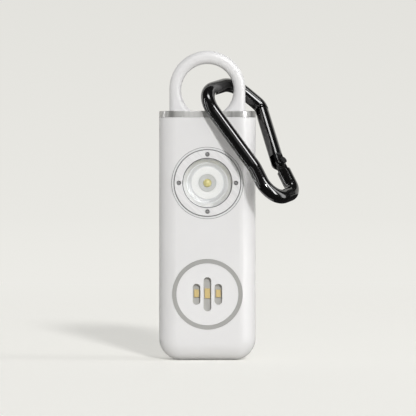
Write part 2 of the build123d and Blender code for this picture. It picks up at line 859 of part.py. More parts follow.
spring_rise = battery_spring_length - battery_spring_wire
spring_start_x = -tray_half + contact_thickness + battery_spring_wire / 2
with BuildPart() as battery_spring:
    with BuildLine() as spring_route:
        Helix(
            pitch=spring_rise / battery_spring_turns,
            height=spring_rise,
            radius=battery_spring_share * cell_radius,
            center=(spring_start_x, cell_y, cell_z),
            direction=(1, 0, 0),
        )
    with BuildSketch(Plane(origin=spring_route.line @ 0, z_dir=spring_route.line % 0)):
        Circle(battery_spring_wire / 2)
    sweep(is_frenet=True)
save(battery_spring, "battery_spring")

pad_y = cell_y + cell_radius + pad_clearance
with BuildPart() as battery_pad:
    with BuildSketch(facing(inner_back_y, cell_z)):
        Rectangle(pad_length, pad_width_share * cell_radius)
    extrude(amount=inner_back_y - pad_y)
save(battery_pad, "battery_pad")

# Circuit board, with a window for the tray and holes for the screws
with BuildPart() as circuit_board:
    with BuildSketch(facing(board_y, (board_low_z + board_top_z) / 2)):
        RectangleRounded(2 * board_half_width, board_top_z - board_low_z, board_corner_radius)
    extrude(amount=-board_thickness)
    with BuildSketch(facing(board_y, cell_z)):
        Rectangle(
            2 * (tray_outer_half + board_window_clearance),
            2 * (tray_half_height + board_window_clearance),
        )
    extrude(amount=-board_thickness, mode=Mode.SUBTRACT)
    with BuildSketch(facing(board_y)):
        with Locations(*pillar_places):
            Circle(screw_radius + screw_clearance)
    extrude(amount=-board_thickness, mode=Mode.SUBTRACT)
save(circuit_board, "circuit_board")

# Parts on the circuit board's front
coil_height = board_y - siren_cup_back_y - coil_gap
capacitor_height = board_y - siren_cup_back_y - capacitor_gap
chip_z = siren_z + chip_rise
transistor_x = board_half_width - transistor_edge_gap
transistor_z = light_z - transistor_drop
small_part_x = small_part_edge_gap - board_half_width
small_part_z = light_z - small_part_drop
with BuildPart() as boost_coil:
    with BuildSketch(facing(board_y, coil_z)):
        with Locations((coil_x, 0)):
            Circle(coil_radius)
    extrude(amount=coil_flange)
    with BuildSketch(facing(board_y - coil_flange, coil_z)):
        with Locations((coil_x, 0)):
            Circle(coil_waist_radius)
    extrude(amount=coil_height - 2 * coil_flange)
    with BuildSketch(facing(board_y - coil_height + coil_flange, coil_z)):
        with Locations((coil_x, 0)):
            Circle(coil_radius)
    extrude(amount=coil_flange)
save(boost_coil, "boost_coil")

with BuildPart() as capacitors:
    for index in range(capacitor_count):
        with BuildSketch(facing(board_y, coil_z)):
            with Locations((capacitor_x + index * capacitor_pitch, 0)):
                Circle(capacitor_radius)
        extrude(amount=capacitor_height)
    fillet(capacitors.faces().group_by(Axis.Y)[0].edges(), radius=capacitor_edge)
save(capacitors, "capacitors")

with BuildPart() as control_chip:
    with BuildSketch(facing(board_y - chip_pin_thickness, chip_z)):
        Rectangle(chip_length, chip_width)
    extrude(amount=chip_height)
    with BuildSketch(facing(board_y, chip_z)):
        with GridLocations(chip_pin_pitch, 0, chip_pin_count, 1):
            Rectangle(chip_pin_width, chip_width + 2 * chip_pin_reach)
    extrude(amount=chip_pin_thickness)
save(control_chip, "control_chip")

with BuildPart() as driver_transistor:
    with BuildSketch(facing(board_y, transistor_z)):
        with Locations((transistor_x, 0)):
            Rectangle(transistor_width, transistor_length)
    extrude(amount=transistor_height)
save(driver_transistor, "driver_transistor")

with BuildPart() as small_components:
    for index in range(small_part_count):
        with BuildSketch(facing(board_y, small_part_z)):
            with Locations((small_part_x + index * small_part_pitch, 0)):
                Rectangle(small_part_width, small_part_length)
        extrude(amount=small_part_height)
save(small_components, "small_components")

# Carabiner: its plane holds the spine in front of the case and passes behind the loop's leg
slope = radians(clip_spine_slope)
lean = radians(clip_spine_lean)
clip_origin = Vector(
    loop_eye_radius - clip_touch_inset,
    front_y - clip_case_gap - clip_wire_radius,
    band_top_z - clip_touch_drop,
)
leg_point = Vector(
    loop_eye_radius + clip_leg_reach,
    loop_thickness / 2 + clip_leg_gap + clip_wire_radius,
    band_top_z + clip_leg_rise,
)
spine_direction = Vector(sin(slope) * cos(lean), -sin(lean), -cos(slope) * cos(lean))
clip_plane = Plane(
    origin=clip_origin,
    x_dir=spine_direction,
    z_dir=spine_direction.cross(leg_point - clip_origin),
)

# The gate's line runs from the nose, and the rivet sits outside it by the gate's offset
nose = Vector(clip_nose_down, clip_nose_out)
hinge = Vector(hinge_down, hinge_out)
heel = Vector(clip_foot, clip_heel)
reach = (hinge - nose).length
gate_angle = atan2(hinge.Y - nose.Y, hinge.X - nose.X) - asin(gate_offset / reach)
gate_line = Vector(cos(gate_angle), sin(gate_angle))
gate_out = Vector(-sin(gate_angle), cos(gate_angle))
hinge_foot = hinge - gate_out * gate_offset
nose_end = nose + gate_line * clip_nose_end
neck_line = (heel - hinge).normalized()
wire_start = hinge + neck_line * tongue_neck


def in_clip(point):
    """A place in the carabiner's plane, as a point of the whole object."""
    return clip_plane.from_local_coords(point)


def across_clip(point, along):
    """A plane at a point of the carabiner's plane, square to a direction in it, X lying in it."""
    start = in_clip(point)
    ahead = in_clip(point + along) - start
    return Plane(origin=start, x_dir=clip_plane.z_dir.cross(ahead), z_dir=ahead)


rivet_plane = Plane(origin=in_clip(hinge), z_dir=clip_plane.z_dir)

# The wire's route is drawn flat, and then laid in the carabiner's plane
with BuildLine() as clip_drawing:
    FilletPolyline(
        wire_start,
        heel,
        (clip_foot, -clip_belly),
        (clip_spine, 0),
        (-clip_head, 0),
        (-clip_head, clip_shoulder),
        nose,
        nose_end,
        radius=[
            clip_heel_radius,
            clip_belly_radius,
            clip_kink_radius,
            clip_head_radius,
            clip_shoulder_radius,
            clip_nose_radius,
        ],
    )
clip_route = clip_plane.from_local_coords(clip_drawing.line)

with BuildPart() as carabiner_body:
    with BuildSketch(Plane(origin=clip_route @ 0, z_dir=clip_route % 0)):
        Circle(clip_wire_radius)
    sweep(path=clip_route)
    with BuildSketch(clip_plane):
        with Locations((hinge + wire_start) / 2):
            SlotCenterToCenter(
                tongue_neck,
                2 * tongue_radius,
                rotation=degrees(atan2(neck_line.Y, neck_line.X)),
            )
    extrude(amount=tongue_thickness / 2, both=True)
    with BuildSketch(across_clip(nose_end, gate_line)):
        Rectangle(nose_tongue_width, tongue_thickness)
    extrude(amount=nose_tongue_length)
    with BuildSketch(rivet_plane):
        Circle(rivet_radius + rivet_fit)
    extrude(amount=tongue_thickness, both=True, mode=Mode.SUBTRACT)
save(carabiner_body, "carabiner_body")

gate_tail_point = hinge_foot + gate_line * gate_tail
gate_length = (gate_tail_point - nose_end).length - gate_gap
fork_depth = gate_tail + tongue_radius + gate_play
bore_radius = gate_spring_radius + gate_spring_wire / 2 + gate_bore_clearance
with BuildPart() as carabiner_gate:
    with BuildSketch(across_clip(gate_tail_point, -gate_line)):
        Circle(gate_radius)
    extrude(amount=gate_length)
    gate_rims = carabiner_gate.edges().filter_by(GeomType.CIRCLE).sort_by_distance(in_clip(nose_end))
    fillet(gate_rims[0], radius=gate_end_round)
    fillet(gate_rims[-1], radius=gate_tail_round)
    with BuildSketch(across_clip(gate_tail_point, -gate_line)):
        with GridLocations(0, 2 * rivet_seat_half + gate_radius, 1, 2):
            Rectangle(2 * gate_radius, gate_radius)
    extrude(amount=gate_flat_length, mode=Mode.SUBTRACT)
    with BuildSketch(across_clip(gate_tail_point, -gate_line)):
        Rectangle(2 * gate_radius, gate_slot_width)
    extrude(amount=fork_depth, mode=Mode.SUBTRACT)
    with BuildSketch(across_clip(nose_end, gate_line)):
        Rectangle(2 * gate_radius, gate_slot_width)
    extrude(amount=nose_tongue_length + gate_gap, mode=Mode.SUBTRACT)
    with BuildSketch(across_clip(gate_tail_point, -gate_line)):
        Circle(bore_radius)
    extrude(amount=fork_depth + gate_spring_length, mode=Mode.SUBTRACT)
    with BuildSketch(rivet_plane):
        Circle(rivet_radius + rivet_fit)
    extrude(amount=gate_radius, both=True, mode=Mode.SUBTRACT)
save(carabiner_gate, "carabiner_gate")

rivet_seat = rivet_seat_half + rivet_fit
with BuildPart() as gate_rivet:
    with BuildSketch(rivet_plane):
        Circle(rivet_radius)
    extrude(amount=rivet_seat, both=True)
    for side in (rivet_plane, -rivet_plane):
        with BuildSketch(side.offset(rivet_seat)):
            Circle(rivet_head_radius)
        extrude(amount=rivet_head_height)
save(gate_rivet, "gate_rivet")

spring_foot = gate_tail_point - gate_line * (fork_depth + gate_spring_wire)
with BuildPart() as gate_spring:
    with BuildLine() as coil_route:
        Helix(
            pitch=(gate_spring_length - 2 * gate_spring_wire) / gate_spring_turns,
            height=gate_spring_length - 2 * gate_spring_wire,
            radius=gate_spring_radius,
            center=in_clip(spring_foot),
            direction=in_clip(spring_foot - gate_line) - in_clip(spring_foot),
        )
    with BuildSketch(Plane(origin=coil_route.line @ 0, z_dir=coil_route.line % 0)):
        Circle(gate_spring_wire / 2)
    sweep(is_frenet=True)
save(gate_spring, "gate_spring")
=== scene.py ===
"""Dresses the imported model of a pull-to-activate personal alarm and sets up its studio."""

from __future__ import annotations

import functools
import logging
import math
from dataclasses import dataclass, field
from enum import Enum
from typing import Callable, Sequence

import bmesh
import bpy
from mathutils import Matrix, Vector

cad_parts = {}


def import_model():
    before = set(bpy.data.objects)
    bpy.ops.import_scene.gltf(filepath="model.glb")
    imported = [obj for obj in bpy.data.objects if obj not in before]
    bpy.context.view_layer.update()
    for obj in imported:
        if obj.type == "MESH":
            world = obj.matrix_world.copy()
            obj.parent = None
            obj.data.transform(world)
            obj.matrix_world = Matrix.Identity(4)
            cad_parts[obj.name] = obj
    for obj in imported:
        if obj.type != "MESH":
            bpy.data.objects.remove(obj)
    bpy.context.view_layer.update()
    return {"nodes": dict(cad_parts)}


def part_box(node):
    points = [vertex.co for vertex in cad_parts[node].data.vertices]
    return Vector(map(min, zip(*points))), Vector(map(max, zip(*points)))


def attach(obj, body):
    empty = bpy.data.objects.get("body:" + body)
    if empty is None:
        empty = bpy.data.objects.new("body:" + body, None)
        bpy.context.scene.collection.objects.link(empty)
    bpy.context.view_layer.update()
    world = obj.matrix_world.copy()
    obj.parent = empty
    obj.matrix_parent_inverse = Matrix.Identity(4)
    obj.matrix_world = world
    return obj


log = logging.getLogger("alarm")

Colour = tuple[float, float, float]
MM = 0.001
FLOAT = "NodeSocketFloat"
VECTOR = "NodeSocketVector"


def srgb(red: int, green: int, blue: int) -> Colour:
    """Turns a colour as the eye reads it, 0 to 255, into the linear values a shader takes.

    Args:
        red: Red, 0 to 255.
        green: Green, 0 to 255.
        blue: Blue, 0 to 255.

    Returns:
        The linear red, green and blue, 0 to 1.
    """

    def linear(level: int) -> float:
        """Linear value of one channel."""
        share = level / 255
        return share / 12.92 if share <= 0.04045 else ((share + 0.055) / 1.055) ** 2.4

    return linear(red), linear(green), linear(blue)


class Texture(Enum):
    """What the surface is like to touch."""

    MOULDED = "moulded"
    BRUSHED = "brushed"
    TURNED = "turned"
    PAINTED = "painted"


class Graph:
    """Adds nodes to one node tree and joins them."""

    def __init__(self, tree: bpy.types.NodeTree) -> None:
        """Keeps the tree, emptied of what Blender put in it."""
        self.tree = tree
        tree.nodes.clear()

    def node(self, kind: str, inputs: dict | None = None, **settings: object) -> bpy.types.Node:
        """Adds a node.

        Args:
            kind: The node's type name without its ShaderNode prefix, or a whole name.
            inputs: Values or output sockets by input name or index.
            settings: Attributes of the node.

        Returns:
            The new node.
        """
        whole = kind if kind.startswith("Node") else f"ShaderNode{kind}"
        made = self.tree.nodes.new(whole)
        for name, value in settings.items():
            setattr(made, name, value)
        for key, value in (inputs or {}).items():
            socket = made.inputs[key]
            if isinstance(value, bpy.types.NodeSocket):
                self.tree.links.new(value, socket)
            else:
                socket.default_value = value
        return made

    def math(self, operation: str, first: object, second: object = 0.0) -> bpy.types.NodeSocket:
        """Adds a Math node and returns its output."""
        return self.node("Math", {0: first, 1: second}, operation=operation).outputs[0]

    def mix(self, factor: object, low: object, high: object) -> bpy.types.NodeSocket:
        """Adds a colour Mix node.

        Args:
            factor: Share of the second colour, as a value or a socket.
            low: First colour, as a value or a socket.
            high: Second colour, as a value or a socket.

        Returns:
            The mixed colour.
        """
        made = self.node("Mix", data_type="RGBA")
        for index, value in ((0, factor), (6, low), (7, high)):
            if isinstance(value, bpy.types.NodeSocket):
                self.tree.links.new(value, made.inputs[index])
            else:
                made.inputs[index].default_value = value if index == 0 else (*value, 1.0)
        return made.outputs[2]

    def band(
        self, value: object, low: float, high: float, to: tuple[float, float] = (0.0, 1.0)
    ) -> bpy.types.NodeSocket:
        """Maps a value from one range to another and returns the result."""
        limits = {"Value": value, 1: low, 2: high, 3: to[0], 4: to[1]}
        return self.node("MapRange", limits).outputs[0]


def effect_group(
    name: str,
    inputs: Sequence[tuple[str, str, float]],
    outputs: Sequence[str],
    fill: Callable[[Graph, bpy.types.Node], dict],
) -> bpy.types.NodeTree:
    """Makes a shader node group once, and hands back the same one afterwards.

    Args:
        name: The group's name.
        inputs: Name, socket type and default of each value it takes after its vector.
        outputs: Names of the values it gives.
        fill: Draws the nodes and returns the socket for each output by name.

    Returns:
        The node group.
    """
    made = bpy.data.node_groups.get(name)
    if made:
        return made
    made = bpy.data.node_groups.new(name, "ShaderNodeTree")
    made.interface.new_socket("Vector", in_out="INPUT", socket_type=VECTOR)
    for label, kind, default in inputs:
        socket = made.interface.new_socket(label, in_out="INPUT", socket_type=kind)
        socket.default_value = default
    for label in outputs:
        kind = VECTOR if label == "Normal" else FLOAT
        made.interface.new_socket(label, in_out="OUTPUT", socket_type=kind)
    graph = Graph(made)
    entry = graph.node("NodeGroupInput")
    given = fill(graph, entry)
    graph.node("NodeGroupOutput", {label: given[label] for label in outputs})
    return made


def moulded_skin() -> bpy.types.NodeTree:
    """Fine spark-eroded grain of a moulding, with slow patches of tone.

    Returns:
        The node group.
    """

    def fill(graph: Graph, entry: bpy.types.Node) -> dict:
        """Draws the grain and the patches.

        Args:
            graph: The group's graph.
            entry: Its input node.

        Returns:
            The socket of each output by name.
        """
        place = entry.outputs["Vector"]
        fine = graph.node("TexNoise", {"Vector": place, "Scale": entry.outputs["Grain"], "Detail": 3.0})
        pits = graph.node("TexVoronoi", {"Vector": place, "Scale": entry.outputs["Grain"]})
        relief = graph.math("ADD", fine.outputs[0], graph.math("MULTIPLY", pits.outputs[0], 0.4))
        slow = graph.node("TexNoise", {"Vector": place, "Scale": entry.outputs["Patches"], "Detail": 2.0})
        return {"Height": relief, "Patch": graph.band(slow.outputs[0], 0.35, 0.65)}

    return effect_group(
        "Moulded skin", [("Grain", FLOAT, 3000.0), ("Patches", FLOAT, 60.0)], ["Height", "Patch"], fill
    )


def handling_wear() -> bpy.types.NodeTree:
    """Rubbed patches and hairline scratches left by pockets and hands.

    Returns:
        The node group.
    """

    def fill(graph: Graph, entry: bpy.types.Node) -> dict:
        """Draws two sets of hairlines, kept to rubbed patches.

        Args:
            graph: The group's graph.
            entry: Its input node.

        Returns:
            The socket of each output by name.
        """
        place = entry.outputs["Vector"]
        hairlines = []
        for turn, spread in ((0.6, 260.0), (-0.9, 340.0)):
            laid = graph.node(
                "Mapping", {"Vector": place, "Rotation": (0.3, turn, 0.2), "Scale": (1.0, 1.0, 0.06)}
            )
            lines = graph.node("TexNoise", {"Vector": laid.outputs[0], "Scale": spread * 12, "Detail": 1.0})
            hairlines.append(graph.band(lines.outputs[0], 0.66, 0.72))
        rubbed = graph.node("TexNoise", {"Vector": place, "Scale": 180.0, "Detail": 3.0})
        patch = graph.band(rubbed.outputs[0], 0.48, 0.68)
        both = graph.math("MAXIMUM", hairlines[0], hairlines[1])
        worn = graph.math("MULTIPLY", graph.math("MULTIPLY", both, patch), entry.outputs["Amount"])
        return {"Mask": worn, "Rub": graph.math("MULTIPLY", patch, entry.outputs["Amount"])}

    return effect_group("Handling wear", [("Amount", FLOAT, 0.5)], ["Mask", "Rub"], fill)


def soft_edges() -> bpy.types.NodeTree:
    """Normals that turn smoothly over every edge, with a mask of where the edges are.

    Returns:
        The node group.
    """

    def fill(graph: Graph, entry: bpy.types.Node) -> dict:
        """Compares the rounded normal with the true one, and breaks the line up with noise.

        Args:
            graph: The group's graph.
            entry: Its input node.

        Returns:
            The socket of each output by name.
        """
        rounded = graph.node("Bevel", {"Radius": entry.outputs["Radius"]}, samples=4)
        true = graph.node("NewGeometry").outputs["Normal"]
        turned = graph.node("VectorMath", {0: rounded.outputs[0], 1: true}, operation="DOT_PRODUCT")
        line = graph.band(turned.outputs["Value"], 0.995, 0.90)
        chips = graph.node("TexNoise", {"Vector": entry.outputs["Vector"], "Scale": 900.0, "Detail": 2.0})
        return {
            "Edge": graph.math("MULTIPLY", line, graph.band(chips.outputs[0], 0.42, 0.60)),
            "Normal": rounded.outputs[0],
        }

    return effect_group("Soft edges", [("Radius", FLOAT, 0.0001)], ["Edge", "Normal"], fill)


def brushed_streaks() -> bpy.types.NodeTree:
    """Long parallel streaks of a brushed face; on the band their broad part is painted reflection.

    Returns:
        The node group.
    """

    def fill(graph: Graph, entry: bpy.types.Node) -> dict:
        """Draws fine and broad streaks that lie across the vector's first axis.

        Args:
            graph: The group's graph.
            entry: Its input node.

        Returns:
            The socket of each output by name.
        """
        laid = graph.node("Mapping", {"Vector": entry.outputs["Vector"], "Scale": (1.0, 0.03, 0.03)})
        fine = graph.node(
            "TexNoise",
            {"Vector": laid.outputs[0], "Scale": entry.outputs["Fineness"], "Detail": 4.0},
        )
        broad = graph.node(
            "TexNoise",
            {"Vector": laid.outputs[0], "Scale": graph.math("MULTIPLY", entry.outputs["Fineness"], 0.2)},
        )
        shade = graph.math("MULTIPLY", graph.math("ADD", fine.outputs[0], broad.outputs[0]), 0.5)
        return {"Height": fine.outputs[0], "Shade": graph.band(shade, 0.38, 0.62)}

    return effect_group("Brushed streaks", [("Fineness", FLOAT, 6000.0)], ["Height", "Shade"], fill)


def turned_rings() -> bpy.types.NodeTree:
    """Rings left by turning, round the vector's second axis.

    Returns:
        The node group.
    """

    def fill(graph: Graph, entry: bpy.types.Node) -> dict:
        """Draws a one-way noise on the distance from the axis.

        Args:
            graph: The group's graph.
            entry: Its input node.

        Returns:
            The socket of each output by name.
        """
        flat = graph.node(
            "VectorMath", {0: entry.outputs["Vector"], 1: (1.0, 0.0, 1.0)}, operation="MULTIPLY"
        )
        far = graph.node("VectorMath", {0: flat.outputs[0]}, operation="LENGTH").outputs["Value"]
        steps = graph.math("MULTIPLY", far, entry.outputs["Fineness"])
        rings = graph.node("TexNoise", {"W": steps, "Scale": 1.0, "Detail": 3.0}, noise_dimensions="1D")
        return {"Height": rings.outputs[0], "Shade": graph.band(rings.outputs[0], 0.35, 0.65)}

    return effect_group("Turned rings", [("Fineness", FLOAT, 5000.0)], ["Height", "Shade"], fill)


def orange_peel() -> bpy.types.NodeTree:
    """The slow ripple of a thick glossy coat, with specks of dust.

    Returns:
        The node group.
    """

    def fill(graph: Graph, entry: bpy.types.Node) -> dict:
        """Draws the ripple and the specks.

        Args:
            graph: The group's graph.
            entry: Its input node.

        Returns:
            The socket of each output by name.
        """
        place = entry.outputs["Vector"]
        ripple = graph.node("TexNoise", {"Vector": place, "Scale": entry.outputs["Ripple"], "Detail": 1.0})
        specks = graph.node("TexVoronoi", {"Vector": place, "Scale": 900.0})
        dust = graph.band(specks.outputs[0], 0.10, 0.04)
        gate = graph.node("TexNoise", {"Vector": place, "Scale": 240.0})
        return {
            "Height": ripple.outputs[0],
            "Dust": graph.math("MULTIPLY", dust, graph.band(gate.outputs[0], 0.5, 0.62)),
        }

    return effect_group("Orange peel", [("Ripple", FLOAT, 700.0)], ["Height", "Dust"], fill)


@dataclass(frozen=True)
class Finish:
    """One surface: its colours, gloss and relief.

    The base colour drifts to the shade colour over patches, streaks, rings or specks.

    Attributes:
        drift: How much rougher the shade colour's places are.
        gloss: Strength of the plain reflection.
        grain: Fineness of the texture, larger for finer.
        patches: Fineness of a moulding's slow patches.
        relief: Strength of the texture's bump.
        wear: Amount of handling wear.
        centre: Where the texture is centred, in millimetres.
        turn: How the texture is turned, in radians.
        clear: 1 for glass and clear plastic.
        edge: Radius of the softened edges in millimetres, or 0 for a round piece.
        edge_wear: How pale the worn edges are.
    """

    name: str
    base: Colour
    shade: Colour
    texture: Texture = Texture.MOULDED
    roughness: float = 0.45
    drift: float = 0.08
    metallic: float = 0.0
    coat: float = 0.0
    gloss: float = 0.5
    grain: float = 3000.0
    patches: float = 60.0
    relief: float = 0.12
    wear: float = 0.25
    centre: tuple[float, float, float] = (0.0, 0.0, 0.0)
    turn: tuple[float, float, float] = (0.0, 0.0, 0.0)
    clear: float = 0.0
    edge: float = 0.12
    edge_wear: float = 0.2

    @functools.cache
    def material(self) -> bpy.types.Material:
        """Makes the finish's material once, and hands back the same one afterwards.

        Returns:
            The material.
        """
        made = bpy.data.materials.new(f"{self.name}_finish")
        made.use_nodes = True
        graph = Graph(made.node_tree)
        place = graph.node("TexCoord").outputs["Object"]
        laid = graph.node(
            "Mapping",
            {"Vector": place, "Location": tuple(-MM * part for part in self.centre)},
        )
        turned = graph.node("Mapping", {"Vector": laid.outputs[0], "Rotation": self.turn})
        height, tone = self._surface(graph, turned.outputs[0])
        wear = graph.node(
            "Group", {"Vector": turned.outputs[0], "Amount": self.wear}, node_tree=handling_wear()
        )
        colour = graph.mix(tone, self.base, self.shade)
        pale = tuple(min(0.86, part * 0.7 + 0.2) for part in self.base)
        worn = wear.outputs["Mask"]
        relief = {"Height": height, "Strength": self.relief, "Distance": 0.00004}
        if self.edge:
            edges = graph.node(
                "Group", {"Vector": place, "Radius": self.edge * MM}, node_tree=soft_edges()
            )
            worn = graph.math("MAXIMUM", worn, edges.outputs["Edge"])
            relief["Normal"] = edges.outputs["Normal"]
        colour = graph.mix(graph.math("MULTIPLY", worn, self.edge_wear), colour, pale)
        rough = graph.band(tone, 0.0, 1.0, (self.roughness, self.roughness + self.drift))
        rough = graph.math("ADD", rough, graph.math("MULTIPLY", wear.outputs["Rub"], 0.06))
        bump = graph.node("Bump", relief)
        shader = graph.node(
            "BsdfPrincipled",
            {"Base Color": colour, "Roughness": rough, "Normal": bump.outputs[0]},
        )
        shader.inputs["Metallic"].default_value = self.metallic
        shader.inputs["Specular IOR Level"].default_value = self.gloss
        shader.inputs["Coat Weight"].default_value = self.coat
        shader.inputs["Coat Roughness"].default_value = 0.06
        shader.inputs["Transmission Weight"].default_value = self.clear
        surface = shader.outputs[0]
        if self.clear:
            shader.inputs["IOR"].default_value = 1.3
            path = graph.node("LightPath")
            through = graph.node("BsdfTransparent")
            unseen = graph.math("MAXIMUM", path.outputs["Is Shadow Ray"], path.outputs["Is Diffuse Ray"])
            surface = graph.node("MixShader", {0: unseen, 1: surface, 2: through.outputs[0]}).outputs[0]
        graph.node("OutputMaterial", {"Surface": surface})
        return made

    def _surface(
        self, graph: Graph, place: bpy.types.NodeSocket
    ) -> tuple[bpy.types.NodeSocket, bpy.types.NodeSocket]:
        """Draws the texture's nodes.

        Args:
            graph: The material's graph.
            place: Where on the piece each point is.

        Returns:
            The height, and the drift that the colour and the gloss share.
        """
        effect, fineness, drift = {
            Texture.MOULDED: (moulded_skin, "Grain", "Patch"),
            Texture.BRUSHED: (brushed_streaks, "Fineness", "Shade"),
            Texture.TURNED: (turned_rings, "Fineness", "Shade"),
            Texture.PAINTED: (orange_peel, "Ripple", "Dust"),
        }[self.texture]
        group = graph.node("Group", {}, node_tree=effect())
        group.inputs[fineness].default_value = self.grain
        if self.texture is Texture.MOULDED:
            group.inputs["Patches"].default_value = self.patches
        graph.tree.links.new(place, group.inputs["Vector"])
        return group.outputs["Height"], group.outputs[drift]


LIGHT_CENTRE = (0.0, 0.0, 57.2)
FLOOR_TONES = (srgb(241, 240, 235), srgb(239, 238, 233))
FLOOR_PAPER = (srgb(237, 236, 231), srgb(233, 232, 227))
BACKDROP_PAPER = (srgb(233, 232, 227), srgb(227, 226, 221))

CASE = Finish("case_white", srgb(231, 230, 230), srgb(228, 227, 227), roughness=0.36,
              relief=0.08, wear=0.10)
LOOP = Finish("loop_white", srgb(231, 230, 230), srgb(228, 227, 227), roughness=0.36,
              relief=0.08, wear=0.15, edge=0.0)
GRILLE = Finish("grille_white", srgb(232, 231, 231), srgb(229, 228, 228), roughness=0.42,
                relief=0.06, wear=0.10)
# Partly painted reflection: the broad light and dark bands that the brushed streaks draw across the band,
# between a pale base and a dark shade colour, stand in for reflections in the metal; the fine streaks are
# brushing.
BAND_BRUSHING_AND_REFLECTIONS = Finish(
    "band_metal", srgb(240, 239, 237), srgb(118, 117, 115), Texture.BRUSHED, 0.24, 0.06, 0.35,
    grain=230.0, relief=0.0, wear=0.2, edge=0.0,
)
RING = Finish("ring_grey", srgb(169, 168, 165), srgb(162, 161, 158), roughness=0.5, grain=5000.0, wear=0.15)
MASK = Finish("mask_grey", srgb(180, 179, 175), srgb(166, 165, 161), roughness=0.5, grain=4000.0, wear=0.1)
PHOSPHOR = Finish(
    "phosphor_gold", srgb(218, 195, 136), srgb(200, 175, 112), roughness=0.35,
    grain=6000.0, coat=0.3, wear=0.0,
)
TRIM_RING = Finish(
    "trim_ring_satin", srgb(236, 236, 236), srgb(224, 224, 224), Texture.TURNED, 0.34, 0.08, 0.15,
    grain=9000.0, relief=0.06, centre=LIGHT_CENTRE,
)
BEZEL = Finish(
    "bezel_brushed", srgb(244, 243, 243), srgb(228, 227, 227), Texture.BRUSHED, 0.34, 0.10, 0.20,
    grain=9000.0, relief=0.06, centre=LIGHT_CENTRE, turn=(0.0, 0.8, 0.0),
)
LENS = Finish("lens_clear", srgb(250, 251, 251), srgb(246, 248, 248), roughness=0.03, drift=0.02,
              grain=900.0, relief=0.0, wear=0.0, clear=1.0, edge_wear=0.0)
REFLECTOR = Finish(
    "reflector_pale", srgb(236, 236, 237), srgb(226, 226, 228), Texture.TURNED, 0.24, 0.10, 0.25,
    grain=7000.0, relief=0.06, centre=LIGHT_CENTRE, wear=0.0,
)
COLLAR = Finish("collar_white", srgb(250, 249, 247), srgb(247, 246, 244), roughness=0.4, wear=0.0)
LED_BASE = Finish("led_base_grey", srgb(216, 216, 215), srgb(206, 206, 205), roughness=0.4,
                  grain=5000.0, wear=0.0)
LED_DOME = Finish(
    "led_dome_yellow", srgb(236, 229, 176), srgb(224, 211, 138), roughness=0.18, drift=0.05, coat=0.6,
    grain=5200.0, wear=0.0,
)
CARABINER = Finish(
    "carabiner_black", srgb(6, 6, 6), srgb(12, 12, 12), Texture.PAINTED, 0.14, 0.04, 0.0, coat=0.5,
    gloss=0.9, grain=260.0, relief=0.02, wear=0.12, edge=0.0, edge_wear=0.03,
)
RIVET = Finish(
    "rivet_black", srgb(54, 54, 56), srgb(80, 80, 82), Texture.PAINTED, 0.3, 0.1, 0.7, coat=0.3,
    grain=1600.0, relief=0.2, wear=0.8,
)
STEEL = Finish("steel_plain", srgb(196, 196, 198), srgb(176, 176, 178), Texture.BRUSHED, 0.28, 0.1, 1.0,
               grain=8000.0, relief=0.08, wear=0.3)
SPRING_STEEL = Finish("spring_steel", srgb(200, 200, 203), srgb(180, 180, 184), Texture.TURNED,
                      0.24, 0.1, 1.0, grain=8000.0, relief=0.08, wear=0.2)
BRASS = Finish("brass_turned", srgb(206, 178, 112), srgb(188, 158, 92), Texture.TURNED, 0.28, 0.1, 1.0,
               grain=8000.0, relief=0.08, wear=0.2)
RUBBER = Finish("rubber_black", srgb(44, 44, 46), srgb(54, 54, 56), roughness=0.72, grain=4500.0, wear=0.2)
SWITCH = Finish("switch_black", srgb(34, 34, 37), srgb(44, 44, 47), roughness=0.38, grain=5000.0, wear=0.1)
PLUNGER = Finish("plunger_red", srgb(196, 66, 50), srgb(182, 56, 42), roughness=0.42, grain=5000.0, wear=0.1)
FERRITE = Finish("ferrite_dark", srgb(66, 66, 69), srgb(54, 54, 57), roughness=0.62, grain=6500.0, wear=0.1)
CAN = Finish("capacitor_can", srgb(206, 207, 210), srgb(190, 191, 194), Texture.BRUSHED, 0.3, 0.08, 1.0,
             grain=7000.0, relief=0.05, wear=0.1)
EPOXY = Finish("epoxy_black", srgb(36, 36, 38), srgb(46, 46, 48), roughness=0.55, grain=7000.0, wear=0.0)
CERAMIC = Finish("ceramic_tan", srgb(196, 170, 132), srgb(182, 154, 116), roughness=0.5,
                 grain=7000.0, wear=0.0)
FILM = Finish("ribbon_amber", srgb(206, 148, 66), srgb(190, 132, 52), roughness=0.3,
              grain=2500.0, coat=0.4, wear=0.0)
CUP = Finish("cup_grey", srgb(152, 154, 158), srgb(142, 144, 148), roughness=0.5, wear=0.0)
SOUNDER = Finish("sounder_ceramic", srgb(222, 222, 220), srgb(206, 206, 204), roughness=0.34,
                 grain=6500.0, wear=0.0)
TRAY = Finish("tray_black", srgb(50, 50, 53), srgb(60, 60, 63), roughness=0.5, wear=0.1)
FOAM = Finish("foam_dark", srgb(62, 62, 64), srgb(48, 48, 50), roughness=0.9,
              grain=2600.0, relief=0.8, wear=0.0)
LED_BOARD = Finish("led_board_white", srgb(232, 232, 228), srgb(226, 226, 222), roughness=0.4, wear=0.0)
# Painted shade: this dark grey lies on thin rings over the gaps between the light's rings, where there is
# only shade.
GAP_SHADE = Finish("gap_painted_shade", srgb(112, 112, 112), srgb(98, 98, 98), roughness=0.5, wear=0.0)
# Painted shade: this dark grey is on discs in the spanner holes, where there is only the holes' shade.
HOLE_SHADE = Finish("hole_painted_shade", srgb(160, 160, 159), srgb(142, 142, 141), roughness=0.6, wear=0.0)
TIN = Finish("tinned_wire", srgb(206, 206, 208), srgb(188, 188, 191), Texture.PAINTED, 0.22, 0.1, 1.0,
             grain=1500.0, relief=0.3, wear=0.0)
COPPER = Finish("enamelled_copper", srgb(196, 116, 70), srgb(176, 98, 56), Texture.PAINTED,
                0.25, 0.08, 0.9, coat=0.5, grain=1500.0, relief=0.2, wear=0.0)


